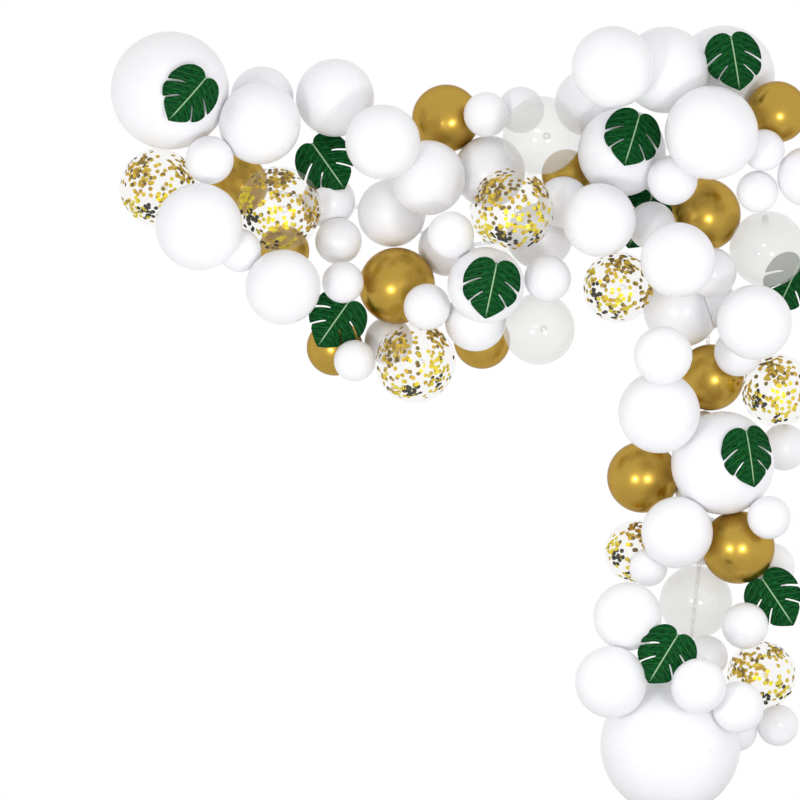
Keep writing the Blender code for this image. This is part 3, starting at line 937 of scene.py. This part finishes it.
def foil_finish(name, dark, light, roughness):
    """Metallic confetti foil, a little uneven in tone."""
    nodes = Nodes(name)
    nodes.colour(nodes.ramp(nodes.noise(60.0), (0.35, dark), (0.65, light)))
    nodes.set(Metallic=1.0, Specular_Tint=(0.15, 0.11, 0.03, 1.0))
    nodes.rough(nodes.range(nodes.noise(90.0), low=roughness, high=roughness + 0.1))
    return nodes.material


def leaf_green():
    """Leaf fabric: deep green with a pale midrib, side veins, fine streaky marks whose lightest tone is
    partly painted highlight, and painted shade darker towards the edge.
    """
    nodes = Nodes("monstera leaf fabric")
    uv = nodes.tree.nodes.new("ShaderNodeUVMap")
    uv.uv_map = "leaf"
    split = nodes.tree.nodes.new("ShaderNodeSeparateXYZ")
    nodes.link(uv.outputs["UV"], split.inputs["Vector"])
    across = nodes.maths("SUBTRACT", split.outputs["X"], LEAF_MAP_FOOT[0])
    out = nodes.maths("ABSOLUTE", nodes.maths("MULTIPLY", across, LEAF_MAP_SIZE))
    along = nodes.maths("SUBTRACT", split.outputs["Y"], LEAF_MAP_FOOT[1])
    along = nodes.maths("MULTIPLY", along, LEAF_MAP_SIZE)

    # The same side veins as the blade's relief.
    bent = nodes.maths("MULTIPLY_ADD", nodes.maths("MULTIPLY", out, out), VEIN_BEND, along)
    sloped = nodes.maths("MULTIPLY_ADD", out, -VEIN_SLOPE, bent)
    vein = nodes.maths("DIVIDE", sloped, VEIN_SPACING)
    turn = nodes.maths("MULTIPLY", vein, 2 * math.pi)
    wave = nodes.maths("MULTIPLY_ADD", nodes.maths("COSINE", turn), 0.5, 0.5)

    # Streaks run along the side veins.
    place = nodes.tree.nodes.new("ShaderNodeCombineXYZ")
    nodes.link(nodes.maths("MULTIPLY", vein, 9.0), place.inputs["X"])
    nodes.link(nodes.maths("MULTIPLY", out, 6.0), place.inputs["Y"])
    streaks_and_highlights = nodes.noise(1.6, detail=5.0, roughness=0.65, at=place.outputs["Vector"])
    # Partly painted highlight: the lightest tone of the streaks stands in for light on the fabric, over its
    # own dark and light streaks.
    green = nodes.ramp(streaks_and_highlights, (0.40, (0.0004, 0.010, 0.003)), (0.50, (0.0015, 0.045, 0.009)),
                       (0.62, (0.008, 0.170, 0.030)))
    # Painted shade: the blade is darkened towards its edge, where the fold turns it away from the light.
    edge = nodes.range(out, low=0.0, high=0.55, start=0.30, end=0.52)
    green = nodes.mix(edge, green, (0.003, 0.028, 0.010))
    thin = nodes.range(wave, low=0.0, high=0.45, start=0.975, end=1.0)
    green = nodes.mix(thin, green, (0.075, 0.240, 0.090))
    tip = nodes.range(along, low=1.0, high=0.0, start=0.80, end=0.97)
    rib = nodes.maths("MULTIPLY", nodes.range(out, low=1.0, high=0.0, start=0.008, end=0.015), tip)
    nodes.colour(nodes.mix(rib, green, (0.330, 0.520, 0.290)))
    nodes.set(Specular_IOR_Level=0.05)
    nodes.rough(nodes.range(streaks_and_highlights, low=0.42, high=0.58))
    nodes.bump(streaks_and_highlights, distance=0.3 * MM, strength=0.5)
    return nodes.material


def stem_green():
    """Leaf stem: a mottled lighter green."""
    nodes = Nodes("leaf stem")
    nodes.colour(nodes.ramp(nodes.noise(300.0), (0.3, (0.020, 0.110, 0.030)), (0.7, (0.060, 0.200, 0.060))))
    nodes.set(Roughness=0.5)
    return nodes.material


def strip_plastic():
    """Milky clear plastic tape with fine marks along it."""
    nodes = Nodes("strip plastic")
    nodes.colour(nodes.ramp(nodes.noise(120.0), (0.3, (0.88, 0.89, 0.89)), (0.7, (0.93, 0.94, 0.94))))
    nodes.set(Alpha=0.40)
    nodes.rough(nodes.range(nodes.noise(400.0), low=0.28, high=0.42))
    nodes.bump(nodes.noise(900.0), distance=0.05 * MM, strength=0.3)
    return nodes.material


def set_floor(low, middle):
    """A pale floor under the garland."""
    deselect_all()
    bpy.ops.mesh.primitive_plane_add(size=1)
    floor = bpy.context.object
    floor.name = "floor"
    floor.scale = (*FLOOR_SIZE, 1.0)
    floor.location = (middle.x, middle.y - FLOOR_FORWARD, low.z - FLOOR_DROP)
    paint = Nodes("pale floor")
    paint.colour(paint.ramp(paint.noise(2.0), (0.3, (0.85, 0.85, 0.85)), (0.7, (0.88, 0.88, 0.88))))
    paint.set(Roughness=0.8)
    floor.data.materials.append(paint.material)


def set_world():
    """A white surround that lights a little less than it shows."""
    bpy.context.scene.view_settings.view_transform = "Standard"
    world = bpy.data.worlds.new("studio")
    bpy.context.scene.world = world
    world.use_nodes = True
    tree = world.node_tree
    back = tree.nodes["Background"]
    place = tree.nodes.new("ShaderNodeTexCoord")
    split = tree.nodes.new("ShaderNodeSeparateXYZ")
    tree.links.new(place.outputs["Generated"], split.inputs["Vector"])
    fade = tree.nodes.new("ShaderNodeMapRange")
    fade.inputs["From Min"].default_value = -WORLD_FADE
    fade.inputs["From Max"].default_value = WORLD_FADE
    fade.inputs["To Min"].default_value = WORLD_FRONT
    fade.inputs["To Max"].default_value = WORLD_BACK
    tree.links.new(split.outputs["Y"], fade.inputs["Value"])
    path = tree.nodes.new("ShaderNodeLightPath")
    # A mix node's number sockets: 0 is its factor, 2 the first value and 3 the second.
    strength = tree.nodes.new("ShaderNodeMix")
    strength.inputs[3].default_value = 1.0
    tree.links.new(path.outputs["Is Camera Ray"], strength.inputs[0])
    tree.links.new(fade.outputs["Result"], strength.inputs[2])
    tree.links.new(strength.outputs[0], back.inputs["Strength"])
    back.inputs["Color"].default_value = (1, 1, 1, 1)


def set_lamps(middle):
    """Two round soft lamps in front, one to each side, aimed at the garland's middle."""
    turn = math.radians(LAMP_TURN)
    drop = math.radians(LAMP_DROP)
    for side in (-1, 1):
        lamp = bpy.data.lights.new("lamp", "AREA")
        lamp.shape = "DISK"
        lamp.size = LAMP_SIZE
        lamp.energy = LAMP_POWER
        stand = put("lamp", lamp)
        way = Vector((side * math.sin(turn) * math.cos(drop), -math.cos(turn) * math.cos(drop),
                      -math.sin(drop)))
        stand.location = middle + way * LAMP_DISTANCE
        stand.rotation_euler = way.to_track_quat("Z", "Y").to_euler()
        stand.visible_camera = False


def set_camera():
    """A far camera that sees the photo's frame, straight from the front."""
    lens = bpy.data.cameras.new("camera")
    lens.sensor_width = CAMERA_SENSOR
    lens.lens = CAMERA_LENS
    lens.clip_start = 1.0
    lens.clip_end = 200.0
    camera = put("camera", lens)
    camera.rotation_euler = (math.radians(90), 0, 0)
    distance = VIEW_WIDTH * CAMERA_LENS / CAMERA_SENSOR
    camera.location = (VIEW_MIDDLE[0], VIEW_DEPTH - distance, VIEW_MIDDLE[1])
    bpy.context.scene.camera = camera


def main():
    """Builds every piece, then the floor, the surround, the lamps and the camera."""
    balloons = find_balloons()
    model = take_mesh(model_balloon())
    disc = model_disc()
    white = white_latex()
    gold = gold_latex()
    clear = see_through_latex("clear latex", (0.80, 0.80, 0.775), alpha=0.34)
    tinted = see_through_latex("confetti balloon latex", (0.74, 0.70, 0.58), alpha=0.10)
    foils = [foil_finish(name + " foil", *tones) for name, tones in FOILS.items()]
    for node in sorted({balloon.node for balloon in balloons}):
        members = [balloon for balloon in balloons if balloon.node == node]
        mesh = joined([balloon_skin(model, balloon, balloons) for balloon in members])
        if node.startswith("gold"):
            add_piece(node + "_skin", mesh, node, "gold_latex", gold)
        elif node.startswith("clear"):
            add_piece(node + "_skin", mesh, node, "clear_latex", clear)
        elif node.startswith("white"):
            add_piece(node + "_skins", mesh, node, "white_latex", white)
        else:
            add_piece(node + "_skin", mesh, node, "confetti_latex", tinted)
            discs = confetti_mesh(disc, members[0], balloons, random.Random(node))
            add_piece(node + "_foil", discs, None, "confetti_latex", *foils)

    leaf = model_leaf()
    stem = model_stem()
    green = leaf_green()
    stem_finish = stem_green()
    for i, node in enumerate(sorted(LEAVES)):
        add_leaf(node, leaf, stem, green, stem_finish, LOBE_LIFT + LOBE_LIFT_STEP * (i % LOBE_LIFTS))
    add_piece("balloon_strip_tape", model_strip(), "balloon_strip", "clear_plastic_strip",
              strip_plastic())

    low, high = CAD_BOX
    middle = (low + high) / 2
    set_floor(low, middle)
    set_world()
    set_lamps(middle)
    set_camera()


main()
